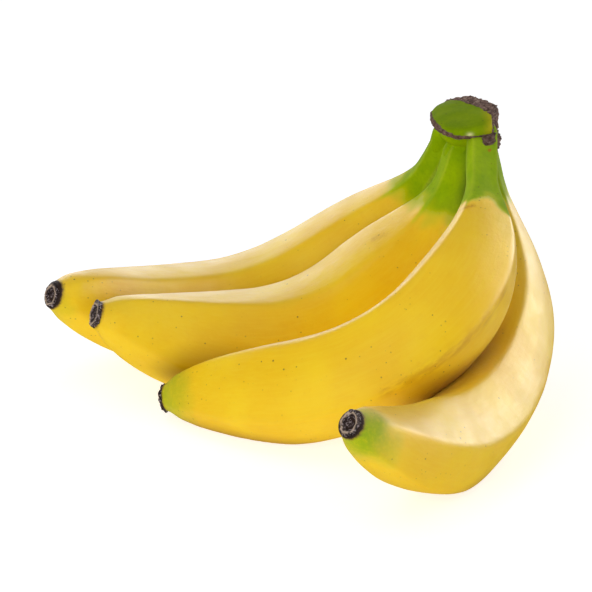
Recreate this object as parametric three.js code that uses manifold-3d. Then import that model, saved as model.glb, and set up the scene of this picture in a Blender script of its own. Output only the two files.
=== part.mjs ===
// A bunch of four bananas lying on its bellies: the crown that joined the hand to its stem, four
// fingers that hang from the crown by their stalks, and the dried flower remnant on the tip of
// each finger. Millimetres and degrees, +Z up, the table at z = 0.
import * as THREE from "three";
import { mergeVertices } from "three/addons/utils/BufferGeometryUtils.js";
import Module from "manifold-3d";

// Driving dimensions. Each finger adds its own small difference to the first three.
const STALK_LENGTH = 34;
const BODY_LENGTH = 166;
const BELLY_RADIUS = 19;
const STALK_RADIUS = 5.1;
const TIP_RADIUS = 5.9;
const STALK_GAP = 1.4;
const CROWN_BASE_Z = 98;
const CROWN_HEIGHT = 13;
const CROWN_SKIN = 1.2;
const FLOWER_END_INSET = 0.6;
const FLOWER_END_LENGTH = 3.8;
const BELLY_FLAT_DEPTH = 1;
const CLEARANCE = 0.3;

// How a finger is shaped along its length, as shares of that length or of one stretch of it.
const CURL_STATIONS = [0, 0.14, 0.3, 0.52, 0.78, 1];
const CURL_BLEND = 0.064;
const CURL_SAMPLES = 9;
const SHOULDER_START = 0.72;
const SHOULDER_LENGTH = 0.42;
const SHOULDER_POWER = 0.75;
const TIP_TAPER_LENGTH = 0.4;
const TIP_TAPER_POWER = 2.1;

// The cross-section of a finger: five blunt ridges with flatter faces between them.
const RIDGES = 5;
const RIDGE_HEIGHT = 0.02;
const SIDES = 20;
const STEPS = 72;
const STEPS_PER_RING = 2;

// The crown from its underside to its top: height as a share of the crown's height, and girth.
const CROWN_PROFILE = [
  [-0.22, 0.72],
  [-0.06, 0.95],
  [0.1, 1.02],
  [0.22, 0.98],
  [0.6, 0.95],
  [0.84, 0.8],
  [0.97, 0.5],
];
const CROWN_BOTTOM = -0.3;
const CROWN_TOP = 1;
const CROWN_SIDES = 32;
const CROWN_BLEND_POWER = 8;
const SOCKET_STATIONS = 11;

// How far a finger may be turned at its root to lie on the table and clear its neighbours.
const MOST_TILT = 25;
const MOST_FAN = 30;
const FAN_STEP = 0.25;
const LAYOUT_PASSES = 3;

// Each finger: where its stalk roots in the crown, in stalk pitches from the crown's middle, and
// the height there above the crown's base; the heading and pitch of the stalk; the lean of the
// plane that it curls in; its curl at the stations and its sideways bow, in degrees over the
// whole finger; its differences from the driving dimensions; and which way it fans out.
const FINGERS = [
  {
    root: [-0.49, 0.95], rise: 0, heading: 109.5, pitch: -59, lean: -85,
    curl: [133, 95, 182, 122, -35], bow: -15.5,
    longerStalk: 3, longerBody: 3, fatter: 0, fan: -1,
  },
  {
    root: [-0.22, -0.42], rise: 0, heading: 150, pitch: -80, lean: -35,
    curl: [111, 92, 173, 108, -44], bow: -15,
    longerStalk: -6, longerBody: -11, fatter: 1, fan: 0,
  },
  {
    root: [0.41, -0.92], rise: 7, heading: 84.5, pitch: -139, lean: -57.5,
    curl: [-28, 282, 170, 60, -120], bow: -23.5,
    longerStalk: 5, longerBody: -5, fatter: -0.5, fan: 1,
  },
  {
    root: [0.29, 0.45], rise: 2.8, heading: 299.4, pitch: -62.7, lean: 60.8,
    curl: [19, 208, 117, 178, 15], bow: 0.3,
    longerStalk: 0.8, longerBody: 13, fatter: -2.8, fan: 1,
  },
];
// The second finger lies where it grew; each of the others fans out clear of those before it.
const LAYOUT_ORDER = [1, 0, 2, 3];

const PEEL = new THREE.MeshStandardMaterial({ color: 0xe6bd12, roughness: 0.45, metalness: 0 });
const CROWN_SKIN_GREEN = new THREE.MeshStandardMaterial({ color: 0x84952a, roughness: 0.6, metalness: 0 });
const DRIED_FLOWER = new THREE.MeshStandardMaterial({ color: 0x2c211a, roughness: 0.85, metalness: 0 });

const UP = new THREE.Vector3(0, 0, 1);
const wasm = await Module();
wasm.setup();

function radians(angle) {
  return THREE.MathUtils.degToRad(angle);
}

// A value at a share of the length, straight from one station to the next.
function between(stations, values, share) {
  let i = 0;
  while (i < stations.length - 2 && share > stations[i + 1]) {
    i += 1;
  }
  const t = (share - stations[i]) / (stations[i + 1] - stations[i]);
  return THREE.MathUtils.lerp(values[i], values[i + 1], t);
}

// The curl at a share of the length, blended over the stretch around it.
function curlAt(finger, share) {
  const values = [finger.curl[0], ...finger.curl];
  let sum = 0;
  for (let i = 0; i < CURL_SAMPLES; i += 1) {
    const offset = CURL_BLEND * ((2 * i) / (CURL_SAMPLES - 1) - 1);
    sum += between(CURL_STATIONS, values, THREE.MathUtils.clamp(share + offset, 0, 1));
  }
  return sum / CURL_SAMPLES;
}

// A finger's radius: a slim stalk, a shoulder that swells to the belly, and a taper to the tip.
function radiusAt(finger, distance) {
  const stalk = STALK_LENGTH + finger.longerStalk;
  const body = BODY_LENGTH + finger.longerBody;
  const belly = BELLY_RADIUS + finger.fatter;
  const shoulderStart = SHOULDER_START * stalk;
  const swell = THREE.MathUtils.smoothstep(distance, shoulderStart, shoulderStart + SHOULDER_LENGTH * body);
  const shoulder = Math.sin((Math.PI / 2) * swell ** SHOULDER_POWER);
  const toTip = Math.min((stalk + body - distance) / (TIP_TAPER_LENGTH * body), 1);
  const taper = 1 - (1 - Math.max(toTip, 0)) ** TIP_TAPER_POWER;
  return Math.min(
    THREE.MathUtils.lerp(STALK_RADIUS, belly, shoulder),
    THREE.MathUtils.lerp(TIP_RADIUS, belly, taper),
  );
}

// Walks a finger's centreline from the crown to the tip. Every station has its place, its radius
// and a frame: along the finger, inward to the hollow of its curve, and across.
function walk(finger) {
  const length = STALK_LENGTH + finger.longerStalk + BODY_LENGTH + finger.longerBody;
  const step = length / STEPS;
  const heading = radians(finger.heading);
  const pitch = radians(finger.pitch);
  const level = new THREE.Vector3(Math.cos(heading), Math.sin(heading), 0);
  const along = level.clone().multiplyScalar(Math.cos(pitch)).addScaledVector(UP, Math.sin(pitch));
  const inward = level.clone().multiplyScalar(-Math.sin(pitch)).addScaledVector(UP, Math.cos(pitch));
  inward.applyAxisAngle(along, radians(finger.lean));
  const across = along.clone().cross(inward);
  const stalkPitch = 2 * STALK_RADIUS + STALK_GAP;
  const place = new THREE.Vector3(...finger.root, 0).multiplyScalar(stalkPitch);
  place.z = CROWN_BASE_Z + finger.rise;
  const bow = radians(finger.bow) / STEPS;
  const stations = [];
  for (let i = 0; i <= STEPS; i += 1) {
    stations.push({
      place: place.clone(),
      along: along.clone(),
      inward: inward.clone(),
      across: across.clone(),
      radius: radiusAt(finger, i * step),
    });
    const curl = radians(curlAt(finger, i / STEPS)) / STEPS;
    place.addScaledVector(along, step / 2);
    along.applyAxisAngle(across, curl);
    inward.applyAxisAngle(across, curl);
    along.applyAxisAngle(inward, -bow);
    across.applyAxisAngle(inward, -bow);
    place.addScaledVector(along, step / 2);
  }
  return stations;
}

// The same stations turned as one about an axis through the root.
function turned(stations, axis, angle) {
  const root = stations[0].place;
  const turn = new THREE.Quaternion().setFromAxisAngle(axis, radians(angle));
  return stations.map((station) => ({
    place: station.place.clone().sub(root).applyQuaternion(turn).add(root),
    along: station.along.clone().applyQuaternion(turn),
    inward: station.inward.clone().applyQuaternion(turn),
    across: station.across.clone().applyQuaternion(turn),
    radius: station.radius,
  }));
}

function lowestPoint(stations) {
  return Math.min(...stations.flatMap((station) => section(station, 0).map((point) => point.z)));
}

// The ridged section's radius at one station, in the direction given by an angle from inward.
function sectionRadius(station, angle) {
  return station.radius * (1 + RIDGE_HEIGHT * Math.cos(RIDGES * angle));
}

// How far the section at one station reaches toward another.
function reachToward(station, other) {
  const toward = other.place.clone().sub(station.place);
  return sectionRadius(station, Math.atan2(toward.dot(station.across), toward.dot(station.inward)));
}

function gapBetween(one, other) {
  let gap = Infinity;
  for (const a of one) {
    for (const b of other) {
      gap = Math.min(gap, a.place.distanceTo(b.place) - reachToward(a, b) - reachToward(b, a));
    }
  }
  return gap;
}

// Tilts a finger at its root until its belly presses its small flat onto the table.
function settled(stations) {
  const reach = stations[STEPS].place.clone().sub(stations[0].place);
  const axis = new THREE.Vector3(reach.y, -reach.x, 0).normalize();
  let low = -MOST_TILT;
  let high = MOST_TILT;
  for (let i = 0; i < 24; i += 1) {
    const middle = (low + high) / 2;
    if (lowestPoint(turned(stations, axis, middle)) < -BELLY_FLAT_DEPTH) {
      low = middle;
    } else {
      high = middle;
    }
  }
  return turned(stations, axis, high);
}

// Fans a finger out about the upright line through its root until it clears its neighbours.
function fannedOut(stations, neighbours, sign) {
  let result = stations;
  for (let angle = FAN_STEP; angle <= MOST_FAN; angle += FAN_STEP) {
    if (neighbours.every((neighbour) => gapBetween(result, neighbour) >= CLEARANCE)) {
      break;
    }
    result = turned(stations, UP, sign * angle);
  }
  return result;
}

function layOut() {
  const laid = [];
  for (const i of LAYOUT_ORDER) {
    const neighbours = LAYOUT_ORDER.slice(0, LAYOUT_ORDER.indexOf(i)).map((j) => laid[j]);
    laid[i] = walk(FINGERS[i]);
    for (let pass = 0; pass < LAYOUT_PASSES; pass += 1) {
      laid[i] = fannedOut(settled(laid[i]), neighbours, FINGERS[i].fan);
    }
  }
  return laid;
}

// A closed skin over rings of points, with a point at each end. The rings turn anticlockwise
// about the way from the first to the last.
function loft(rings, first, last) {
  const points = [first, ...rings.flat(), last];
  const count = rings[0].length;
  const at = (ring, k) => 1 + ring * count + (k % count);
  const indices = [];
  for (let k = 0; k < count; k += 1) {
    indices.push(0, at(0, k + 1), at(0, k));
    indices.push(points.length - 1, at(rings.length - 1, k), at(rings.length - 1, k + 1));
    for (let ring = 0; ring < rings.length - 1; ring += 1) {
      indices.push(at(ring, k), at(ring, k + 1), at(ring + 1, k));
      indices.push(at(ring, k + 1), at(ring + 1, k + 1), at(ring + 1, k));
    }
  }
  const geometry = new THREE.BufferGeometry().setFromPoints(points);
  geometry.setIndex(indices);
  return geometry;
}

// The ridged section of a finger at one station, grown by a clearance.
function section(station, grown) {
  const ring = [];
  for (let k = 0; k < SIDES; k += 1) {
    const angle = (2 * Math.PI * k) / SIDES;
    const radius = sectionRadius(station, angle) + grown;
    const point = station.place.clone();
    point.addScaledVector(station.inward, radius * Math.cos(angle));
    point.addScaledVector(station.across, radius * Math.sin(angle));
    ring.push(point);
  }
  return ring;
}

function fingerGeometry(stations) {
  const rings = stations.filter((_, i) => i % STEPS_PER_RING === 0).map((s) => section(s, 0));
  for (const point of rings.flat()) {
    point.z = Math.max(point.z, 0);
  }
  return loft(rings, stations[0].place, stations[STEPS].place);
}

// The room that a stalk needs in the crown.
function socketGeometry(stations) {
  const rings = stations.slice(0, SOCKET_STATIONS).map((s) => section(s, CLEARANCE));
  const start = stations[0].along.clone().multiplyScalar(-CLEARANCE);
  rings[0].forEach((point) => point.add(start));
  return loft(rings, stations[0].place.clone().add(start), stations[SOCKET_STATIONS - 1].place);
}

// The crown's reach from its middle in one direction: it wraps every root with the skin.
function crownReach(angle) {
  const stalkPitch = 2 * STALK_RADIUS + STALK_GAP;
  let sum = 0;
  for (const finger of FINGERS) {
    const toward = (finger.root[0] * Math.cos(angle) + finger.root[1] * Math.sin(angle)) * stalkPitch;
    sum += Math.max(toward + STALK_RADIUS + CROWN_SKIN, 0) ** CROWN_BLEND_POWER;
  }
  return sum ** (1 / CROWN_BLEND_POWER);
}

function crownGeometry(laid) {
  const height = (share) => CROWN_BASE_Z + share * CROWN_HEIGHT;
  const rings = CROWN_PROFILE.map(([share, girth]) => {
    const ring = [];
    for (let k = 0; k < CROWN_SIDES; k += 1) {
      const angle = (2 * Math.PI * k) / CROWN_SIDES;
      const reach = girth * crownReach(angle);
      ring.push(new THREE.Vector3(reach * Math.cos(angle), reach * Math.sin(angle), height(share)));
    }
    return ring;
  });
  const bottom = new THREE.Vector3(0, 0, height(CROWN_BOTTOM));
  const top = new THREE.Vector3(0, 0, height(CROWN_TOP));
  let crown = solid(loft(rings, bottom, top));
  for (const stations of laid) {
    crown = crown.subtract(solid(socketGeometry(stations)));
  }
  return geometryOf(crown);
}

function solid(geometry) {
  const merged = mergeVertices(geometry);
  return new wasm.Manifold(new wasm.Mesh({
    numProp: 3,
    vertProperties: new Float32Array(merged.attributes.position.array),
    triVerts: new Uint32Array(merged.index.array),
  }));
}

function geometryOf(manifold) {
  const mesh = manifold.getMesh();
  const geometry = new THREE.BufferGeometry();
  geometry.setAttribute("position", new THREE.BufferAttribute(mesh.vertProperties, 3));
  geometry.setIndex(new THREE.BufferAttribute(mesh.triVerts, 1));
  return geometry;
}

// The dried remnant of the flower: a blunt stub with a sunken middle, turned about the y axis.
function flowerEndGeometry() {
  const profile = [
    [0, 0],
    [0.82, 0],
    [1, 0.28],
    [0.96, 0.66],
    [0.8, 1],
    [0.6, 0.95],
    [0.48, 0.7],
    [0, 0.62],
  ];
  const points = profile.map(([reach, height]) => (
    new THREE.Vector2(reach * (TIP_RADIUS - FLOWER_END_INSET), height * FLOWER_END_LENGTH)
  ));
  return new THREE.LatheGeometry(points, SIDES);
}

function named(name, geometry, material) {
  const mesh = new THREE.Mesh(geometry, material);
  mesh.name = name;
  return mesh;
}

const bunch = new THREE.Group();
const laid = layOut();
bunch.add(named("crown", crownGeometry(laid), CROWN_SKIN_GREEN));
laid.forEach((stations, i) => {
  bunch.add(named(`banana_${i + 1}`, fingerGeometry(stations), PEEL));
  const tip = stations[STEPS];
  const flowerEnd = named(`flower_end_${i + 1}`, flowerEndGeometry(), DRIED_FLOWER);
  flowerEnd.quaternion.setFromUnitVectors(new THREE.Vector3(0, 1, 0), tip.along);
  flowerEnd.position.copy(tip.place).addScaledVector(tip.along, CLEARANCE);
  bunch.add(flowerEnd);
});

// The origin is the middle of the bunch's box, on the table.
const box = new THREE.Box3().setFromObject(bunch, true);
bunch.position.set(-(box.min.x + box.max.x) / 2, -(box.min.y + box.max.y) / 2, -box.min.z);

export default bunch;
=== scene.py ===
"""A bunch of ripe bananas: peel, crown and dried flower tips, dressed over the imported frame.

Every finger is rebuilt from the rings of its CAD solid, so its place and thickness follow the
frame. Lengths are in metres unless they are said to be in mm, angles are in degrees, and colours
are linear.
"""
import math

import bpy
import numpy as np
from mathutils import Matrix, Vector, noise


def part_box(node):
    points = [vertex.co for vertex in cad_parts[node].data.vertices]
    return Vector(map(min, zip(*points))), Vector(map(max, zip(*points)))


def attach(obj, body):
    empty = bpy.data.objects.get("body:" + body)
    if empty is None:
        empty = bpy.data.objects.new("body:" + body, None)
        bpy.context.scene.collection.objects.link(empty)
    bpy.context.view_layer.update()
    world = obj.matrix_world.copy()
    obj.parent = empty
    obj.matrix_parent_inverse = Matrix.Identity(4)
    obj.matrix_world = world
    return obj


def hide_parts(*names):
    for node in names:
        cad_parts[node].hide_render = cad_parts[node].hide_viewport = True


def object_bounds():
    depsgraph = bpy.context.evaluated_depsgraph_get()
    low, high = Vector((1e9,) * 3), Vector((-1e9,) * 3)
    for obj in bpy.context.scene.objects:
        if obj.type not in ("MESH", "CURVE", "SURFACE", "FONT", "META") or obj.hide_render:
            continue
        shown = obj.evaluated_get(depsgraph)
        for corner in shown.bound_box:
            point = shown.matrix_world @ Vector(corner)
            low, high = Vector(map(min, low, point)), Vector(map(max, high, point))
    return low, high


MM = 0.001

# How fine the pieces are.
STEPS_ALONG = 320
STEPS_AROUND = 160
CROWN_VOXEL = 0.4 * MM
FLOWER_RINGS = 34
FLOWER_SIDES = 120

# The camera, its target as shares of the box from the middle, and the floor.
CAMERA_ELEVATION = 19.9
CAMERA_DISTANCE = 0.8
CAMERA_LENS = 140.9
CAMERA_TARGET = (0.0114, -0.136, 0.0405)
FLOOR_SIZE = 8

# What makes each finger its own. Angles go around the finger from the hollow of its curve.
# ridges: where the five ridges lie, 100 mm from the crown; twist: how they turn, per mm.
# green_to: how far the green runs down from the crown, in mm; tip_green: how green the tip is,
# the side it is greenest on, and how far it reaches in mm; seed: the pattern of small marks.
# streaks: brown rubbed streaks, each from (mm, angle) to (mm, angle), with a width and strength.
# swells: places where the finger is plumper, each at (mm, angle), with its reach in mm and in
# degrees and its height in mm. flower: how large the dried flower end is.
FINGERS = {
    "banana_1": dict(
        ridges=(352, 64, 136, 208, 280), twist=0.0, green_to=37, blur=11,
        tip_green=(0.35, 200, 8), seed=11, streaks=(), flower=1.0,
        swells=(((192, 0), (15, 60), 2.6),),
    ),
    "banana_2": dict(
        ridges=(325, 33, 105, 175, 243), twist=0.22, green_to=30, blur=9,
        tip_green=(0.1, 0, 8), seed=23,
        streaks=(((48, 335), (53, 341), 1.5, 0.5), ((184, 185), (168, 196), 0.5, 0.7)),
        swells=(((27, 252), (18, 60), 3.9),), flower=1.18,
    ),
    "banana_3": dict(
        ridges=(279, 350, 55, 122, 189), twist=0.2, green_to=39, blur=4,
        tip_green=(0.75, 240, 15), seed=37,
        streaks=(((70, 177), (110, 193), 2.2, 0.55), ((45, 258), (45.5, 267), 1.2, 0.95)),
        swells=(((24, 288), (22, 50), 2.1), ((103, 155), (16, 35), 1.6)), flower=1.22,
    ),
    "banana_4": dict(
        ridges=(315, 27, 99, 170, 240), twist=0.35, green_to=30, blur=9,
        tip_green=(1.0, 225, 14), seed=51, streaks=(),
        swells=(((166, 347), (14, 35), 1.6),), flower=1.0,
    ),
}

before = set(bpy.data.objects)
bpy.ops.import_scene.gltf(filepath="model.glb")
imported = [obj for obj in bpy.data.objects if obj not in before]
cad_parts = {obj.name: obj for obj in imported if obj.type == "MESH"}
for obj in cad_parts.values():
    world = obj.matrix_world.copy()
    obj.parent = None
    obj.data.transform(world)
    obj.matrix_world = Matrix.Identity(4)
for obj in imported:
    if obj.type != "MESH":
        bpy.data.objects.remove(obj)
cad_low, cad_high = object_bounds()


def smoothstep(low, high, value):
    """Rises smoothly from 0 at low to 1 at high, which may also be the smaller of the two."""
    t = np.clip((value - low) / (high - low), 0, 1)
    return t * t * (3 - 2 * t)


def unit(vectors):
    return vectors / np.maximum(np.linalg.norm(vectors, axis=-1, keepdims=True), 1e-12)


def noise_at(points, size, seed, octaves=1):
    """Smooth noise of about -1 to 1 whose lumps are about size across."""
    shift = Vector((seed * 1.37, seed * 2.11, seed * 0.73))
    total = np.zeros(len(points))
    for octave in range(octaves):
        scale = 2 ** octave / size
        values = [noise.noise(Vector(p) * scale + shift) for p in points]
        total += np.array(values) / 1.8 ** octave
    return total


# ---------------------------------------------------------------- reading the CAD fingers

def welded(node):
    """The node's corners, joined where they meet, and the neighbours of each."""
    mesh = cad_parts[node].data
    places = np.round(np.array([vertex.co for vertex in mesh.vertices]), 6)
    corners, index = np.unique(places, axis=0, return_inverse=True)
    index = index.reshape(-1)
    neighbours = [set() for _ in corners]
    for polygon in mesh.polygons:
        loop = [int(index[v]) for v in polygon.vertices]
        for a, b in zip(loop, loop[1:] + loop[:1]):
            neighbours[a].add(b)
            neighbours[b].add(a)
    return corners, neighbours


def rings_of(node, root):
    """The rings of a CAD finger from the crown to the tip, each in the same order around."""
    corners, neighbours = welded(node)
    around = max(len(near) for near in neighbours)
    poles = [i for i, near in enumerate(neighbours) if len(near) == around]
    first = min(poles, key=lambda i: np.linalg.norm(corners[i] - root))
    last = max(poles, key=lambda i: np.linalg.norm(corners[i] - root))
    layer = neighbours[first]
    start = min(layer)
    ring = [start, min(neighbours[start] & layer)]
    while len(ring) < around:
        ring.append(next(iter((neighbours[ring[-1]] & layer) - set(ring))))
    centre = corners[ring].mean(axis=0)
    onward = corners[list(neighbours[start] - layer - {first})].mean(axis=0) - corners[start]
    turn = np.cross(corners[ring[0]] - centre, corners[ring[1]] - centre)
    if np.dot(turn, onward) < 0:
        ring.reverse()
    rings = [ring]
    seen = {first, *ring}
    while last not in neighbours[ring[0]]:
        pairs = zip(ring, ring[1:] + ring[:1])
        ring = [next(iter((neighbours[a] & neighbours[b]) - seen)) for a, b in pairs]
        seen.update(ring)
        rings.append(ring)
    return corners[np.array(rings)]


def resample(values, count):
    """Values at evenly spaced stations, on a smooth curve through the given ones."""
    n = len(values)
    t = np.linspace(0, n - 1, count)
    i = np.clip(np.floor(t).astype(int), 0, n - 2)
    f = (t - i).reshape((-1,) + (1,) * (values.ndim - 1))
    padded = np.concatenate([2 * values[:1] - values[1:2], values, 2 * values[-1:] - values[-2:-1]])
    a, b, c, d = padded[i], padded[i + 1], padded[i + 2], padded[i + 3]
    return b + 0.5 * f * (c - a + f * (2 * a - 5 * b + 4 * c - d + f * (3 * (b - c) + d - a)))


class Finger:
    """A finger's centreline from the crown to the tip, with its radius and frame on the way."""

    def __init__(self, node, root):
        rings = rings_of(node, root)
        centres = rings.mean(axis=1)
        spokes = rings - centres[:, None]
        reach = np.linalg.norm(spokes, axis=2)
        per_ridge = rings.shape[1] // 5
        phase = np.argmax([reach[:, k::per_ridge].mean() for k in range(per_ridge)])
        bend = np.gradient(unit(np.gradient(centres, axis=0)), axis=0)
        ridges = range(phase, rings.shape[1], per_ridge)
        inner = max(ridges, key=lambda k: np.sum(unit(spokes[:, k]) * bend))
        self.places = resample(centres, STEPS_ALONG)
        self.radii = resample(reach.mean(axis=1), STEPS_ALONG)
        self.along = unit(np.gradient(self.places, axis=0))
        inward = resample(spokes[:, inner], STEPS_ALONG)
        inward -= self.along * np.sum(inward * self.along, axis=1, keepdims=True)
        self.inward = unit(inward)
        self.across = np.cross(self.along, self.inward)
        step = np.linalg.norm(np.diff(self.places, axis=0), axis=1)
        self.distance = np.concatenate([[0], np.cumsum(step)])
        self.length = self.distance[-1]


# ---------------------------------------------------------------- meshes

# How sharp the five ridges are, how much of them shows, how much more on the stalk, and how many
# degrees a crest reaches to each side.
RIDGE_POWER = 18
RIDGE_STRENGTH = 0.6
STALK_RIDGES = 0.45
CREST_WIDTH = 5

# Where the ridges' angles are given and where they begin to turn, in mm from the crown.
RIDGES_AT = 100
TWIST_FROM = 40

# How much narrower a finger gets at its tip and where it enters the crown.
TIP_NECK = 0.19
ROOT_NECK = 0.3

# The soft lumps of the peel: their size and their height in mm.
BROAD_LUMPS = (30, 0.5)
SMALL_LUMPS = (9, 0.08)

# The gap to its neighbour at which painted shade starts to darken a peel, and at which it is
# full, in mm. The floor counts as a neighbour a little further off, for painted shade on the
# undersides: a share of the height, and mm more.
SHADE_GAPS = (11, 0.5)
FLOOR_GAP = (1.1, 2)

# In mm: how much further the green runs along a ridge, how far its edge wavers at the stalk and
# at the tip, and the size of that wavering. From STALK_GREEN on, a face has the stalk's skin.
GREEN_ON_RIDGES = 4
STALK_WAVER = 5
TIP_WAVER = 3
WAVER_SIZE = 8
STALK_GREEN = 0.6


def grid_faces(rows, columns):
    """The quads of a tube of rows of points, and the fans that close its two ends."""
    faces = []
    for row in range(rows - 1):
        for k in range(columns):
            n = (k + 1) % columns
            faces.append((row * columns + k, row * columns + n,
                          (row + 1) * columns + n, (row + 1) * columns + k))
    first, last = rows * columns, rows * columns + 1
    for k in range(columns):
        n = (k + 1) % columns
        faces.append((first, n, k))
        faces.append((last, (rows - 1) * columns + k, (rows - 1) * columns + n))
    return faces


def new_mesh(name, points, faces, attributes=None):
    mesh = bpy.data.meshes.new(name)
    mesh.from_pydata([tuple(p) for p in points], [], faces)
    for key, values in (attributes or {}).items():
        layer = mesh.attributes.new(key, "FLOAT", "POINT")
        layer.data.foreach_set("value", np.asarray(values, dtype=np.float32))
    mesh.polygons.foreach_set("use_smooth", [True] * len(mesh.polygons))
    mesh.update()
    return mesh


def add_object(name, data):
    piece = bpy.data.objects.new(name, data)
    bpy.context.scene.collection.objects.link(piece)
    return piece


def wrapped(angle):
    """An angle in degrees, brought to -180 to 180."""
    return (angle + 180) % 360 - 180


def ridged_reach(angle, ridges):
    """The reach of a section with five blunt ridges, 1 on average, and how near a ridge it is."""
    ordered = sorted(r % 360 for r in ridges)
    total = np.zeros_like(angle)
    near = np.zeros_like(angle)
    for a, b in zip(ordered, ordered[1:] + [ordered[0] + 360]):
        half = math.radians((b - a) / 2)
        off = np.radians(wrapped(angle - (a + b) / 2))
        total += np.maximum(np.cos(off) / math.cos(half), 0) ** RIDGE_POWER
        near = np.maximum(near, np.exp(-(wrapped(angle - a) / CREST_WIDTH) ** 2))
    reach = total ** (-1 / RIDGE_POWER)
    return reach / reach.mean(axis=1, keepdims=True), near


def streak_mask(to_crown, angle, radius, streaks):
    """How strongly the rubbed streaks show at each place."""
    mask = np.zeros_like(angle)
    for (start, start_angle), (end, end_angle), width, strength in streaks:
        run = math.copysign(max(abs(end - start), 0.01), end - start)
        t = np.clip((to_crown - start) / run, 0, 1)
        side = wrapped(angle - (start_angle + t * (end_angle - start_angle)))
        off_side = np.radians(side) * radius
        off_end = to_crown - (start + t * run)
        distance = np.hypot(off_side, off_end)
        mask = np.maximum(mask, strength * np.exp(-(distance / width) ** 2))
    return mask


def gap_to_others(points, node, fingers):
    """How far each point is from the nearest other finger or the floor, in millimetres."""
    gap = points[:, 2] * FLOOR_GAP[0] + FLOOR_GAP[1] * MM
    for name, other in fingers.items():
        if name != node:
            for place, radius in zip(other.places[::5], other.radii[::5]):
                gap = np.minimum(gap, np.linalg.norm(points - place, axis=1) - radius)
    return gap / MM


def finger_mesh(node, fingers, traits):
    """The peel of one finger, stalk and all, as one closed surface."""
    finger = fingers[node]
    to_crown = finger.distance[:, None] / MM
    to_tip = (finger.length - finger.distance)[:, None] / MM
    angles = np.linspace(0, 360, STEPS_AROUND, endpoint=False)[None]
    turned = angles - traits["twist"] * (np.clip(to_crown, TWIST_FROM, None) - RIDGES_AT)
    reach, near_ridge = ridged_reach(turned, traits["ridges"])
    on_stalk = smoothstep(60, 28, to_crown)
    strength = RIDGE_STRENGTH * (1 + STALK_RIDGES * on_stalk) * smoothstep(-2, 16, to_tip)
    neck = 1 - TIP_NECK * smoothstep(7, 0, to_tip) - ROOT_NECK * smoothstep(7, 1, to_crown)
    radius = finger.radii[:, None] * neck
    spokes = (np.cos(np.radians(angles))[..., None] * finger.inward[:, None]
              + np.sin(np.radians(angles))[..., None] * finger.across[:, None])
    radius = radius * (1 + strength * (reach - 1))
    for (place, side), (reach_along, reach_around), height in traits["swells"]:
        off = np.hypot((to_crown - place) / reach_along, wrapped(angles - side) / reach_around)
        radius = radius + height * MM * np.exp(-off ** 2)
    points = finger.places[:, None] + radius[..., None] * spokes
    flat = points.reshape(-1, 3)
    lumps = (noise_at(flat, BROAD_LUMPS[0] * MM, traits["seed"]) * BROAD_LUMPS[1]
             + noise_at(flat, SMALL_LUMPS[0] * MM, traits["seed"] + 5) * SMALL_LUMPS[1]) * MM
    fade = np.repeat(smoothstep(8, 45, to_crown) * smoothstep(1, 14, to_tip), STEPS_AROUND)
    flat = flat + (lumps * fade)[:, None] * spokes.reshape(-1, 3)
    flat[:, 2] = np.maximum(flat[:, 2], 0)
    points = np.concatenate([flat, [finger.places[0], finger.places[-1]]])

    def everywhere(values, first=0.0, last=0.0):
        """A value for each point of the tube, then for the points that close its two ends."""
        full = np.broadcast_to(values, (STEPS_ALONG, STEPS_AROUND)).reshape(-1)
        return np.concatenate([full, [first, last]])

    length = finger.length / MM
    attributes = {
        "to_crown": everywhere(to_crown, 0, length),
        "to_tip": everywhere(to_tip, length, 0),
        "ridge": everywhere(near_ridge),
        "side_x": everywhere(np.cos(np.radians(turned)) * radius / MM),
        "side_y": everywhere(np.sin(np.radians(turned)) * radius / MM),
        "streak": everywhere(streak_mask(to_crown, angles, radius / MM, traits["streaks"])),
        # Painted shade: 1 where the peel is close to another finger or the floor, 0 far off.
        "painted_shade": smoothstep(*SHADE_GAPS, gap_to_others(points, node, fingers)),
    }
    wobble = noise_at(points, WAVER_SIZE * MM, traits["seed"] + 9, 2)
    limit = traits["green_to"] + GREEN_ON_RIDGES * attributes["ridge"]
    place = attributes["to_crown"] + STALK_WAVER * wobble
    attributes["green"] = smoothstep(limit + traits["blur"], limit - traits["blur"], place)
    amount, side, reach_mm = traits["tip_green"]
    greenest = 0.5 + 0.5 * np.cos(np.radians(angles - side))
    edge = everywhere(reach_mm * (0.25 + greenest), 1, 1)
    fading = smoothstep(1.2, 0.1, (attributes["to_tip"] + TIP_WAVER * wobble) / edge)
    attributes["tip_green"] = amount * everywhere(0.35 + 0.65 * greenest) * fading
    faces = grid_faces(STEPS_ALONG, STEPS_AROUND)
    mesh = new_mesh(f"peel_{node}", points, faces, attributes)
    is_green = attributes["green"] > STALK_GREEN
    mesh.polygons.foreach_set("material_index", [int(is_green[face[0]]) for face in faces])
    return mesh


# ---------------------------------------------------------------- the crown

# The block that the stalks grow from, and the lower cushion under it: the middle and half sizes
# of each as shares of the CAD crown's box, and how square they are from the side and from above.
BLOCK_MIDDLE = (-0.035, -0.13, 0.19)
BLOCK_HALF = (0.44, 0.585, 0.345)
BLOCK_POWER = 2.7
CUSHION_MIDDLE = (-0.01, -0.02, -0.16)
CUSHION_HALF = (0.37, 0.44, 0.36)
CUSHION_POWER = 2.3
OUTLINE_POWER = 2.3
BLOCK_ROWS = 40
BLOCK_COLUMNS = 72

# The sleeve around a stalk's root, in mm: its length, how far it stands off the stalk at its two
# ends, the length over which it narrows in the crown, and how deep it starts. STUB_NECK is how
# narrow it gets.
STUB_LENGTH = 17
STUB_SKIN = (0.9, -0.45)
STUB_NECK_LENGTH = 7
STUB_NECK = 0.6
STUB_SINK = 2
STUB_SIDES = 48

# How strongly and how often the joined skin is smoothed into webs between the stalks.
WEB_FACTOR = 0.6
WEB_REPEATS = 14

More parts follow.
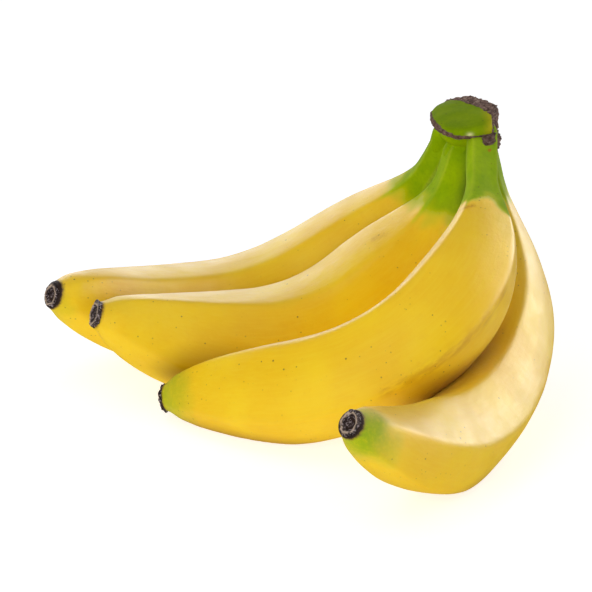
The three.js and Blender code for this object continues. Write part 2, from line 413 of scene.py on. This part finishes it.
# Where the block is sliced: a point on each plane, in millimetres from the low corner of the CAD
# crown, and the way the plane faces. The first three are smooth skin, the last two the woody cut.
# What stands over a plane is pressed down by SLICE_DEPTH of its height.
SLICES = (
    ((10.9, 19.7, 16.6), (-0.25, -0.2, 0.93)),
    ((10.1, 21.7, 17.2), (0.0, 0.42, 0.91)),
    ((4.4, 21.7, 15.0), (-0.6, 0.3, 0.74)),
    ((22.3, 0.7, 15.6), (0.3, 0.12, 0.94)),
    ((22.3, 0.7, 11.9), (0.97, -0.13, 0.2)),
)
SKIN_SLICES = 3
SLICE_DEPTH = 0.88
SLICE_ROUNDING = 2.2 * MM

# The line on the block where skin gives way to wood, seen from above: a point on it, in
# millimetres from the same corner, and the way to the woody side.
WOOD_LINE = ((22.3, 0.7), (0.857, 0.514))

# The strip of wood that hangs on the right, in mm from the same corner: its edge, the height
# below which the edge slants outward and by how much per mm, and where it fades below and behind.
TAIL_EDGE = 23.6
TAIL_SLANT = (8, 0.16)
TAIL_LOW = (-5.5, -2)
TAIL_BACK = (24, 18)

# The scar around the block's foot: where the block's side begins, as a share of its half width;
# how far down the scar runs and how it climbs on the left, as shares of the half height.
SIDE_BEGINS = (0.72, 0.86)
SCAR_DROP = 0.80
SCAR_CLIMB = 0.4

# The scar, the groove that far under it, and the bands in which each fades out, in mm.
SCAR_BAND = (2.0, 1.2)
GROOVE_DROP = 2.1
GROOVE_BAND = (0.8, 0.2)

# How far these stand out or go in, in mm; the scar and the cut also with their raggedness.
SCAR_RISE = 0.5
GROOVE_DEPTH = 0.3
TAIL_RISE = 0.6
SOFT_RISE = 0.35

# Two marks on the front: mm to the right of the corner and above the scar, and their reach.
STAIN = ((21.5, -3), (2.2, 1.5))
SPOT = ((13.8, 2.2), (1.1, 0.8))


def squared(value, power):
    """A cosine or sine, changed so that a circle becomes a rounded square."""
    return math.copysign(abs(value) ** (2 / power), value)


def block_rings(middle, half, power):
    """The rings of a rounded block, from its foot to its top."""
    rings = []
    for v in np.linspace(-88, 88, BLOCK_ROWS):
        up = squared(math.sin(math.radians(v)), power)
        out = math.cos(math.radians(v)) ** (2 / power)
        ring = []
        for u in np.linspace(0, 360, BLOCK_COLUMNS, endpoint=False):
            c, s = math.cos(math.radians(u)), math.sin(math.radians(u))
            way = np.array([squared(c, OUTLINE_POWER), squared(s, OUTLINE_POWER), 0])
            ring.append(middle + half * (way * out + np.array([0, 0, up])))
        rings.append(ring)
    return np.array(rings)


def tube_mesh(name, rings):
    """A closed mesh over rings of points."""
    rows, columns = rings.shape[:2]
    ends = np.array([rings[0].mean(axis=0), rings[-1].mean(axis=0)])
    points = np.concatenate([rings.reshape(-1, 3), ends])
    return new_mesh(name, points, grid_faces(rows, columns))


def stub_rings(finger):
    """A sleeve around the root of a stalk that dives under the peel at its far end."""
    last = int(np.searchsorted(finger.distance, STUB_LENGTH * MM))
    angles = np.radians(np.linspace(0, 360, STUB_SIDES, endpoint=False))
    rings = []
    for i in range(0, last + 1, 2):
        share = smoothstep(0, 1, finger.distance[i] / (STUB_LENGTH * MM))
        radius = finger.radii[i] + (STUB_SKIN[0] + (STUB_SKIN[1] - STUB_SKIN[0]) * share) * MM
        opened = smoothstep(0, STUB_NECK_LENGTH * MM, finger.distance[i])
        radius *= STUB_NECK + (1 - STUB_NECK) * opened
        ring = (finger.places[i] + radius * (np.cos(angles)[:, None] * finger.inward[i]
                                             + np.sin(angles)[:, None] * finger.across[i]))
        rings.append(ring)
    rings.insert(0, rings[0] - finger.along[0] * STUB_SINK * MM)
    return np.array(rings)


def crown_mesh(fingers):
    """The crown's skin: block, cushion and sleeves joined, smoothed and carved."""
    low, high = (np.array(corner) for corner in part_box("crown"))
    middle, size = (low + high) / 2, high - low
    block_middle = middle + np.array(BLOCK_MIDDLE) * size
    block_half = np.array(BLOCK_HALF) * size
    cushion_middle = middle + np.array(CUSHION_MIDDLE) * size
    cushion_half = np.array(CUSHION_HALF) * size
    meshes = [tube_mesh("block", block_rings(block_middle, block_half, BLOCK_POWER)),
              tube_mesh("cushion", block_rings(cushion_middle, cushion_half, CUSHION_POWER))]
    meshes += [tube_mesh("stub", stub_rings(finger)) for finger in fingers.values()]
    points, faces = [], []
    for mesh in meshes:
        faces += [tuple(v + len(points) for v in polygon.vertices) for polygon in mesh.polygons]
        points += [tuple(vertex.co) for vertex in mesh.vertices]
        bpy.data.meshes.remove(mesh)
    rough = add_object("rough_crown", new_mesh("rough_crown", points, faces))
    remesh = rough.modifiers.new("union", "REMESH")
    remesh.mode = "VOXEL"
    remesh.voxel_size = CROWN_VOXEL
    smooth = rough.modifiers.new("webs", "SMOOTH")
    smooth.factor = WEB_FACTOR
    smooth.iterations = WEB_REPEATS
    graph = bpy.context.evaluated_depsgraph_get()
    mesh = bpy.data.meshes.new_from_object(rough.evaluated_get(graph))
    bpy.data.objects.remove(rough)
    mesh.name = "crown_skin"
    carve_crown(mesh, low, block_middle, block_half)
    return mesh


def mark_at(right, up, mark):
    """How strongly a soft round mark shows at each place."""
    (mark_right, mark_up), (wide, tall) = mark
    return np.exp(-((right - mark_right) / wide) ** 2 - ((up - mark_up) / tall) ** 2)


def carve_crown(mesh, corner, middle, half):
    """Cuts the block off its stem, raises the scar around its foot and marks both."""
    points = np.array([vertex.co for vertex in mesh.vertices])
    normals = np.array([vertex.normal for vertex in mesh.vertices])
    local = (points - middle) / half
    on_block = smoothstep(*SIDE_BEGINS, np.linalg.norm(local[:, :2], axis=1))
    climb = SCAR_CLIMB * half[2] * local[:, 0] ** 2 * (local[:, 0] < 0)
    foot = middle[2] - SCAR_DROP * half[2] + climb
    ragged = noise_at(points, 2.2 * MM, 3, 3)
    fibres = noise_at(points * np.array([1, 1, 3]), 1.1 * MM, 8, 3)
    above = points[:, 2] > foot
    for number, (place, way) in enumerate(SLICES):
        way = np.array(way) / np.linalg.norm(way)
        over = (points - corner - np.array(place) * MM) @ way
        if number < SKIN_SLICES:
            over = SLICE_ROUNDING * np.logaddexp(0, over / SLICE_ROUNDING)
        points -= (np.maximum(over, 0) * above)[:, None] * SLICE_DEPTH * way
    place = (points - corner) / MM
    beyond_line = np.maximum((place[:, :2] - WOOD_LINE[0]) @ np.array(WOOD_LINE[1]),
                             place[:, 0] - WOOD_LINE[0][0])
    cut = above * smoothstep(-0.5, 0.4, beyond_line + 0.8 * ragged)
    tail_edge = TAIL_EDGE + np.maximum(TAIL_SLANT[0] - place[:, 2], 0) * TAIL_SLANT[1]
    tail = (smoothstep(-0.5, 0.3, place[:, 0] - tail_edge + 0.9 * ragged)
            * smoothstep(*TAIL_LOW, place[:, 2]) * smoothstep(*TAIL_BACK, place[:, 1]))
    cut = np.maximum(cut, tail)
    scar_height = (points[:, 2] - foot) / MM
    scar = on_block * smoothstep(*SCAR_BAND, np.abs(scar_height + 0.4 * ragged))
    groove = on_block * smoothstep(*GROOVE_BAND, np.abs(scar_height + GROOVE_DROP))
    push = (SCAR_RISE * scar * (0.7 + 0.9 * fibres) - GROOVE_DEPTH * groove
            + cut * (0.7 * ragged + 0.5 * fibres) + TAIL_RISE * tail) * MM
    points += push[:, None] * normals
    soft = noise_at(points, 7 * MM, 17) * SOFT_RISE * MM
    points += soft[:, None] * normals
    mesh.vertices.foreach_set("co", points.astype(np.float32).reshape(-1))
    front = local[:, 1] < 0
    marks = {
        "scar": np.maximum(scar, cut),
        "cut": cut,
        "block": smoothstep(-0.5, 0.5, scar_height),
        "right": smoothstep(0.25, 0.8, local[:, 0]),
        "fibres": fibres,
        "stain": mark_at(place[:, 0], scar_height, STAIN) * front,
        "spot": mark_at(place[:, 0], scar_height, SPOT) * front,
    }
    for key, values in marks.items():
        layer = mesh.attributes.new(key, "FLOAT", "POINT")
        layer.data.foreach_set("value", values.astype(np.float32))
    mesh.polygons.foreach_set("use_smooth", [True] * len(mesh.polygons))
    mesh.update()


# ---------------------------------------------------------------- the flower ends

# From the rim at the peel, over the lip and down into the pitted middle: reach and height, as
# shares of the whole. The reach is a share of the finger's radius at its tip, and the height is a
# share of the CAD piece's length.
FLOWER_PROFILE = (
    (0.55, -0.9), (0.97, -0.7), (1.04, -0.3), (1.02, 0.1), (0.94, 0.5), (0.82, 0.66),
    (0.7, 0.5), (0.6, 0.1), (0.42, -0.1), (0.25, 0.0), (0.1, 0.15),
)
FLOWER_REACH = 0.73
FLOWER_LENGTH = 0.24

# Where the pale ring on the lip lies on the profile's reach, and its half width.
LIP = (0.8, 0.08)

# The lumps and the flakes of the dried skin: their size and their height in mm.
DRIED_LUMPS = (2.0, 0.6)
DRIED_FLAKES = (2.6, 0.7)
DRIED_SINK = 0.4


def flower_mesh(node, finger, seed, scale):
    """The dried, pitted flower end on the tip of a finger."""
    low, high = (np.array(corner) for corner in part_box(node))
    tip, along = finger.places[-1], finger.along[-1]
    inward, across = finger.inward[-1], finger.across[-1]
    reach = finger.radii[-1] * FLOWER_REACH * scale
    ahead = np.sum((np.array([low, high]) - tip) * np.sign(along) * along, axis=1)
    length = ahead.max() * FLOWER_LENGTH * scale
    profile = resample(np.array(FLOWER_PROFILE), FLOWER_RINGS)
    angles = np.linspace(0, 2 * math.pi, FLOWER_SIDES, endpoint=False)
    lobes = 1 + 0.06 * np.cos(2 * angles + seed) + 0.02 * np.cos(5 * angles + 2 * seed)
    points = []
    for share, height in profile:
        wave = 1 + (lobes - 1) * min(share * 1.4, 1)
        ring = (tip + along * (height * length + 0.1 * MM)
                + (reach * share * wave * np.cos(angles))[:, None] * inward
                + (reach * share * wave * np.sin(angles))[:, None] * across)
        points.append(ring)
    points = np.array(points)
    flat = points.reshape(-1, 3)
    outward = unit(flat - (tip - along * 0.3 * length))
    rough = noise_at(flat, DRIED_LUMPS[0] * MM, seed, 3)
    flakes = np.abs(noise_at(flat, DRIED_FLAKES[0] * MM, seed + 4, 2))
    share = np.repeat(profile[:, 0], FLOWER_SIDES)
    rise = DRIED_LUMPS[1] * rough + DRIED_FLAKES[1] * flakes - DRIED_SINK
    flat = flat + (rise * smoothstep(0.0, 0.5, share))[:, None] * outward * MM
    heights = np.repeat(profile[:, 1], FLOWER_SIDES)
    ends = np.array([tip - along * 0.9 * length, flat[-FLOWER_SIDES:].mean(axis=0)])
    lip = np.exp(-((share - LIP[0]) / LIP[1]) ** 2) * (heights > 0.4)
    points = np.concatenate([flat, ends])
    lips = {"lip": np.concatenate([lip, [0, 0]])}
    return new_mesh(node, points, grid_faces(FLOWER_RINGS, FLOWER_SIDES), lips)


# ---------------------------------------------------------------- materials

class Nodes:
    """A short way to write a node material."""

    def __init__(self, name):
        self.material = bpy.data.materials.new(name)
        self.material.use_nodes = True
        self.tree = self.material.node_tree
        self.shader = self.tree.nodes["Principled BSDF"]

    def put(self, socket, value):
        if isinstance(value, bpy.types.NodeSocket):
            self.tree.links.new(value, socket)
        else:
            socket.default_value = value

    def add(self, kind, inputs=None, **settings):
        node = self.tree.nodes.new(kind)
        for key, value in settings.items():
            setattr(node, key, value)
        for key, value in (inputs or {}).items():
            self.put(node.inputs[key], value)
        return node

    def fix(self, settings):
        """Sets sockets of the shader that are the same all over."""
        for key, value in settings.items():
            self.shader.inputs[key].default_value = value

    def attribute(self, name):
        return self.add("ShaderNodeAttribute", attribute_name=name).outputs["Fac"]

    def math(self, operation, a, b):
        node = self.add("ShaderNodeMath", operation=operation)
        self.put(node.inputs[0], a)
        self.put(node.inputs[1], b)
        return node.outputs[0]

    def place(self, shift=0.0):
        """The place on the object in millimetres, shifted so that patterns don't repeat."""
        coordinates = self.add("ShaderNodeTexCoord").outputs["Object"]
        node = self.add("ShaderNodeVectorMath", operation="MULTIPLY_ADD")
        self.put(node.inputs[0], coordinates)
        node.inputs[1].default_value = (1000, 1000, 1000)
        node.inputs[2].default_value = (shift, shift * 0.7, shift * 1.3)
        return node.outputs[0]

    def along_peel(self, stretch):
        """A place on the peel whose lengthwise axis is stretched, for fibres and streaks."""
        node = self.add("ShaderNodeCombineXYZ")
        self.put(node.inputs[0], self.attribute("side_x"))
        self.put(node.inputs[1], self.attribute("side_y"))
        self.put(node.inputs[2], self.math("DIVIDE", self.attribute("to_crown"), stretch))
        return node.outputs[0]

    def noise(self, size, detail=3.0, roughness=0.5, place=None, shift=0.0):
        """Noise of 0 to 1 with lumps of about size in millimetres."""
        node = self.add("ShaderNodeTexNoise",
                        {"Scale": 1 / size, "Detail": detail, "Roughness": roughness})
        self.put(node.inputs["Vector"], place or self.place(shift))
        return node.outputs["Fac"]

    def ramp(self, value, low, high, out_low=0.0, out_high=1.0):
        """A smooth step from out_low to out_high as the value goes from low to high."""
        node = self.add("ShaderNodeMapRange", interpolation_type="SMOOTHSTEP")
        self.put(node.inputs["Value"], value)
        limits = {"From Min": low, "From Max": high, "To Min": out_low, "To Max": out_high}
        for key, number in limits.items():
            self.put(node.inputs[key], number)
        return node.outputs["Result"]

    def mix(self, share, a, b):
        """Colour a where share is 0 and colour b where it is 1."""
        node = self.add("ShaderNodeMix", data_type="RGBA")
        self.put(node.inputs[0], share)
        self.put(node.inputs[6], a if isinstance(a, bpy.types.NodeSocket) else (*a, 1))
        self.put(node.inputs[7], b if isinstance(b, bpy.types.NodeSocket) else (*b, 1))
        return node.outputs[2]

    def specks(self, spacing, share, low, high, shift):
        """Round specks in a share of the cells of a pattern with the given spacing."""
        node = self.add("ShaderNodeTexVoronoi", {"Scale": 1 / spacing, "Vector": self.place(shift)})
        parts = self.add("ShaderNodeSeparateColor", {"Color": node.outputs["Color"]})
        size = self.ramp(parts.outputs[1], 0, 1, low, high)
        dot = self.ramp(self.math("SUBTRACT", node.outputs["Distance"], size), -0.03, 0.05, 1, 0)
        return self.math("MULTIPLY", dot, self.math("LESS_THAN", parts.outputs[0], share))

    def bump(self, height, distance, strength, normal=None):
        node = self.add("ShaderNodeBump",
                        {"Distance": distance, "Strength": strength, "Height": height})
        if normal:
            self.put(node.inputs["Normal"], normal)
        return node.outputs["Normal"]


# The yellow of the peel, in its variations, and where it turns green.
YELLOW = (0.88, 0.535, 0.0)
PALE_YELLOW = (0.92, 0.61, 0.002)
FIBRE_YELLOW = (0.93, 0.66, 0.02)
DEEP_YELLOW = (0.84, 0.47, 0.0)
RIDGE_YELLOW = (0.72, 0.44, 0.01)
# Painted shade, for the peel close to another finger or the floor.
SHADE_YELLOW = (0.54, 0.31, 0.0)
TURNING_YELLOW = (0.58, 0.55, 0.0)

# The green of the stalks, the crown and the tips.
GREEN = (0.25, 0.40, 0.0)
PALE_GREEN = (0.32, 0.47, 0.0)
DARK_GREEN = (0.16, 0.28, 0.0)
RIDGE_GREEN = (0.52, 0.56, 0.06)
# Painted shade, for the stalks close to each other or the floor.
SHADE_GREEN = (0.055, 0.105, 0.0)
TIP_GREENS = (0.27, 0.40, 0.0), (0.44, 0.48, 0.0)

# The marks on the peel.
SPECK = (0.16, 0.075, 0.01)
RUBBED = (0.60, 0.27, 0.0)
FRAYED = (0.22, 0.10, 0.015)
FRAYED_RIM = (0.03, 0.015, 0.01)

# The crown's ripe corner, its marks and its wood.
RIPE_CROWN = (0.55, 0.46, 0.004)
CROWN_STAIN = (0.42, 0.17, 0.01)
CROWN_SPOT = (0.75, 0.72, 0.36)
CROWN_SPECK = (0.07, 0.055, 0.015)
WOODS = (0.075, 0.042, 0.036), (0.34, 0.22, 0.175)
WOOD_FIBRE = (0.52, 0.39, 0.31)
SCAR_WOOD = (0.07, 0.035, 0.02)

# The dried flower ends.
DRIED = (0.008, 0.005, 0.006), (0.06, 0.035, 0.03)
DRIED_GLINT = (0.50, 0.40, 0.40)
DRIED_LIP = (0.58, 0.43, 0.31)


def green_skin(n, depth=1.0):
    """The mottled green of the stalks and the crown, darker where depth is below 1."""
    light, pale, dark = (tuple(depth * part for part in colour)
                         for colour in (GREEN, PALE_GREEN, DARK_GREEN))
    green = n.mix(n.ramp(n.noise(7, 3), 0.35, 0.7), light, pale)
    return n.mix(n.ramp(n.noise(1.1, 4, 0.6, shift=31), 0.35, 0.75, 0, 0.3), green, dark)


def yellow_skin(n):
    """The peel's yellow, with its fibres and ridges, and painted shade near other fingers and the
    floor.
    """
    yellow = n.mix(n.ramp(n.noise(26, 2), 0.35, 0.68), YELLOW, PALE_YELLOW)
    fibre = n.noise(0.9, 3, 0.55, n.along_peel(14))
    yellow = n.mix(n.ramp(fibre, 0.35, 0.75, 0, 0.3), yellow, FIBRE_YELLOW)
    mottled = n.ramp(n.noise(3.2, 4, 0.6, shift=12), 0.5, 0.8, 0, 0.3)
    yellow = n.mix(mottled, yellow, DEEP_YELLOW)
    on_ridge = n.math("MULTIPLY", n.attribute("ridge"), n.ramp(fibre, 0.3, 0.7, 0.0, 0.2))
    yellow = n.mix(on_ridge, yellow, RIDGE_YELLOW)
    # Painted shade where the peel is close to another finger or the floor.
    return n.mix(n.math("MULTIPLY", n.attribute("painted_shade"), 0.9), yellow, SHADE_YELLOW)


def with_marks(n, colour):
    """The peel's colour with its specks, its rubbed streaks and the frayed rim at the tip."""
    near_tip = n.ramp(n.attribute("to_tip"), 4, 45, 1, 0)
    patchy = n.ramp(n.noise(17, 2, shift=44), 0.42, 0.66)
    many = n.math("MULTIPLY", n.specks(1.7, 0.28, 0.06, 0.19, 3),
                  n.math("MAXIMUM", near_tip, patchy))
    few = n.specks(4.2, 0.26, 0.02, 0.075, 19)
    colour = n.mix(n.math("MULTIPLY", many, 0.55), colour, SPECK)
    colour = n.mix(n.math("MULTIPLY", few, 0.85), colour, SPECK)
    broken = n.ramp(n.noise(2.2, 4, 0.65, n.along_peel(2.5)), 0.34, 0.6)
    colour = n.mix(n.math("MULTIPLY", n.attribute("streak"), broken), colour, RUBBED)
    fraying = n.math("MULTIPLY", n.noise(1.2, 4, 0.65, shift=8), -1.7)
    frayed = n.math("ADD", n.attribute("to_tip"), fraying)
    colour = n.mix(n.ramp(frayed, -0.5, 1.0, 0.8, 0), colour, FRAYED)
    return n.mix(n.ramp(frayed, -0.7, 0.2, 1, 0), colour, FRAYED_RIM)


def peel_material(name, specular):
    """The peel, from the green of the stalk to the brown of the tip. Green skin is less waxy."""
    n = Nodes(name)
    turning = n.mix(n.ramp(n.attribute("green"), 0.0, 0.5), yellow_skin(n), TURNING_YELLOW)
    green = n.mix(n.math("MULTIPLY", n.attribute("ridge"), 0.22), green_skin(n), RIDGE_GREEN)
    # Painted shade on the stalks where they are close to each other or the floor.
    green = n.mix(n.ramp(n.attribute("painted_shade"), 0.0, 0.8, 0, 0.85), green, SHADE_GREEN)
    colour = n.mix(n.ramp(n.attribute("green"), 0.35, 0.95), turning, green)
    tip_green = n.mix(n.ramp(n.noise(1.4, 3, 0.6, shift=5), 0.4, 0.8), *TIP_GREENS)
    colour = n.mix(n.attribute("tip_green"), colour, tip_green)
    n.put(n.shader.inputs["Base Color"], with_marks(n, colour))
    rough = n.ramp(n.noise(9, 4, 0.6, shift=27), 0.3, 0.7, 0.40, 0.52)
    greens = n.math("MAXIMUM", n.attribute("green"), n.attribute("tip_green"))
    n.put(n.shader.inputs["Roughness"], n.math("ADD", rough, n.math("MULTIPLY", greens, 0.5)))
    n.fix({
        "IOR": 1.4,
        "Specular IOR Level": specular,
        "Subsurface Weight": 0.05,
        "Subsurface Radius": (0.0022, 0.0014, 0.0003),
        "Subsurface Scale": 1,
        "Sheen Weight": 0.03,
        "Sheen Roughness": 0.5,
    })
    normal = n.bump(n.noise(5, 2, shift=61), 0.00026, 0.8)
    normal = n.bump(n.noise(0.8, 3, 0.5, n.along_peel(9)), 0.00007, 0.9, normal)
    normal = n.bump(n.noise(0.55, 3, 0.6, shift=2), 0.00005, 0.9, normal)
    n.put(n.shader.inputs["Normal"], normal)
    return n.material


def crown_material():
    """Green skin with a ripe corner and two marks, and the wood of the cut and the scar."""
    n = Nodes("crown_skin")
    block = n.attribute("block")
    skin = n.mix(block, green_skin(n, 0.95), green_skin(n, 0.68))
    ripe = n.math("MULTIPLY", n.attribute("right"), n.ramp(n.noise(6, 3, shift=14), 0.3, 0.55))
    ripe = n.math("MULTIPLY", n.math("MULTIPLY", ripe, block), 0.85)
    skin = n.mix(ripe, skin, RIPE_CROWN)
    skin = n.mix(n.math("MULTIPLY", n.attribute("stain"), 0.85), skin, CROWN_STAIN)
    skin = n.mix(n.math("MULTIPLY", n.attribute("spot"), 0.9), skin, CROWN_SPOT)
    wood = n.mix(n.ramp(n.noise(1.6, 5, 0.65, shift=9), 0.3, 0.72), *WOODS)
    wood = n.mix(n.ramp(n.attribute("fibres"), 0.2, 0.7, 0, 0.7), wood, WOOD_FIBRE)
    wood = n.mix(n.ramp(n.attribute("cut"), 0, 1, 0.45, 0), wood, SCAR_WOOD)
    crumbs = n.math("MULTIPLY", n.noise(0.9, 4, 0.6), 0.25)
    edge = n.ramp(n.math("ADD", n.attribute("scar"), crumbs), 0.3, 0.52)
    spots = n.specks(2.1, 0.14, 0.08, 0.2, 23)
    colour = n.mix(n.math("MULTIPLY", spots, 0.5), n.mix(edge, skin, wood), CROWN_SPECK)
    n.put(n.shader.inputs["Base Color"], colour)
    n.put(n.shader.inputs["Roughness"], n.ramp(edge, 0, 1, 0.85, 0.95))
    n.fix({"Specular IOR Level": 0.03})
    normal = n.bump(n.noise(0.5, 5, 0.7, shift=6), 0.0003, n.ramp(edge, 0, 1, 0.15, 1.0))
    normal = n.bump(n.noise(3, 3), 0.0003, 0.5, normal)
    n.put(n.shader.inputs["Normal"], normal)
    return n.material


def flower_material():
    """Black dried skin with pale glints and a pale ring on the lip."""
    n = Nodes("dried_flower")
    colour = n.mix(n.ramp(n.noise(1.1, 5, 0.7), 0.35, 0.65), *DRIED)
    pale = n.ramp(n.noise(0.8, 4, 0.75, shift=18), 0.53, 0.60)
    colour = n.mix(n.math("MULTIPLY", pale, 0.8), colour, DRIED_GLINT)
    broken = n.ramp(n.noise(1.2, 4, 0.6, shift=7), 0.25, 0.5)
    lip = n.math("MULTIPLY", n.attribute("lip"), broken)
    colour = n.mix(n.math("MULTIPLY", lip, 0.9), colour, DRIED_LIP)
    n.put(n.shader.inputs["Base Color"], colour)
    n.put(n.shader.inputs["Roughness"], n.ramp(n.noise(0.9, 3, shift=3), 0.3, 0.7, 0.5, 0.85))
    n.fix({"Specular IOR Level": 0.3})
    n.put(n.shader.inputs["Normal"], n.bump(n.noise(0.35, 5, 0.7), 0.0003, 1.0))
    return n.material


def floor_material():
    """A plain pale floor that glows a little, so that it stays as white as the background."""
    n = Nodes("pale_floor")
    n.fix({
        "Base Color": (0.6, 0.6, 0.6, 1),
        "Roughness": 0.95,
        "Specular IOR Level": 0.1,
        "Emission Color": (1, 1, 1, 1),
        "Emission Strength": 0.68,
    })
    return n.material


# ---------------------------------------------------------------- camera, floor and light

# The lights: where each stands from the bunch's middle, its width and height, its power in watts,
# and whether it gives the soft light or the shine. The two are apart so that the crests can be
# creamy while the yellow between them stays deep.
LIGHTS = {
    "right_box": ((1.0, 0.1, 0.45), 1.0, 0.8, 0.8, "soft"),
    "top_box": ((-0.4, 0.0, 1.1), 1.2, 0.9, 2.7, "soft"),
    "front_fill": ((-0.75, -1.1, 0.5), 1.0, 0.9, 7.8, "soft"),
    "right_shine": ((1.0, 0.0, 0.5), 1.5, 1.1, 41, "shine"),
    "corner_shine": ((0.95, 0.9, 0.25), 1.0, 0.5, 10, "shine"),
    "back_shine": ((-0.2, 1.6, 0.5), 2.6, 1.2, 34, "shine"),
}
WORLD_STRENGTH = 0.36


def aimed(name, data, location, target):
    thing = add_object(name, data)
    thing.location = location
    thing.rotation_mode = "QUATERNION"
    thing.rotation_quaternion = (target - location).to_track_quat("-Z", "Y")
    return thing


def area_light(name, target, offset, width, height, power, kind):
    light = bpy.data.lights.new(name, "AREA")
    light.shape = "RECTANGLE"
    light.size, light.size_y = width, height
    light.energy = power
    lamp = aimed(name, light, target + Vector(offset), target)
    lamp.visible_glossy = kind == "shine"
    lamp.visible_diffuse = kind == "soft"
    lamp.visible_camera = False


def make_stage():
    size = cad_high - cad_low
    centre = (cad_low + cad_high) / 2
    target = centre + Vector([share * side for share, side in zip(CAMERA_TARGET, size)])
    elevation = math.radians(CAMERA_ELEVATION)
    back = Vector((0, -math.cos(elevation), math.sin(elevation)))
    lens = bpy.data.cameras.new("camera")
    lens.lens = CAMERA_LENS
    lens.sensor_width = 36
    bpy.context.scene.camera = aimed("camera", lens, target + back * CAMERA_DISTANCE, target)
    half = FLOOR_SIZE / 2
    corners = [(-half, -half, 0), (half, -half, 0), (half, half, 0), (-half, half, 0)]
    floor = add_object("floor", new_mesh("floor", corners, [(0, 1, 2, 3)]))
    floor.data.materials.append(floor_material())
    floor.visible_glossy = False
    world = bpy.data.worlds.new("studio")
    world.use_nodes = True
    background = world.node_tree.nodes["Background"]
    background.inputs["Color"].default_value = (1, 1, 1, 1)
    background.inputs["Strength"].default_value = WORLD_STRENGTH
    bpy.context.scene.world = world
    world.cycles_visibility.glossy = False
    bpy.context.scene.view_settings.view_transform = "Standard"
    for name, (offset, width, height, power, kind) in LIGHTS.items():
        area_light(name, centre, offset, width, height, power, kind)


# ---------------------------------------------------------------- the bunch

def dress(piece, node, slot, *materials):
    """Gives a piece its materials and its place in the frame."""
    for material in materials:
        piece.data.materials.append(material)
    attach(piece, "root")
    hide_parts(node)


make_stage()
crown_low, crown_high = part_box("crown")
crown_middle = np.array((crown_low + crown_high) / 2)
peels = peel_material("banana_peel", 0.5), peel_material("green_peel", 0.12)
flower = flower_material()
fingers = {node: Finger(node, crown_middle) for node in FINGERS}
for node, traits in FINGERS.items():
    piece = add_object(f"peel_{node}", finger_mesh(node, fingers, traits))
    dress(piece, node, "peel", *peels)
    end = node.replace("banana", "flower_end")
    dried = flower_mesh(end, fingers[node], traits["seed"], traits["flower"])
    piece = add_object(f"dried_{end}", dried)
    dress(piece, end, "dried_flower", flower)
dress(add_object("crown_skin", crown_mesh(fingers)), "crown", "crown_skin", crown_material())
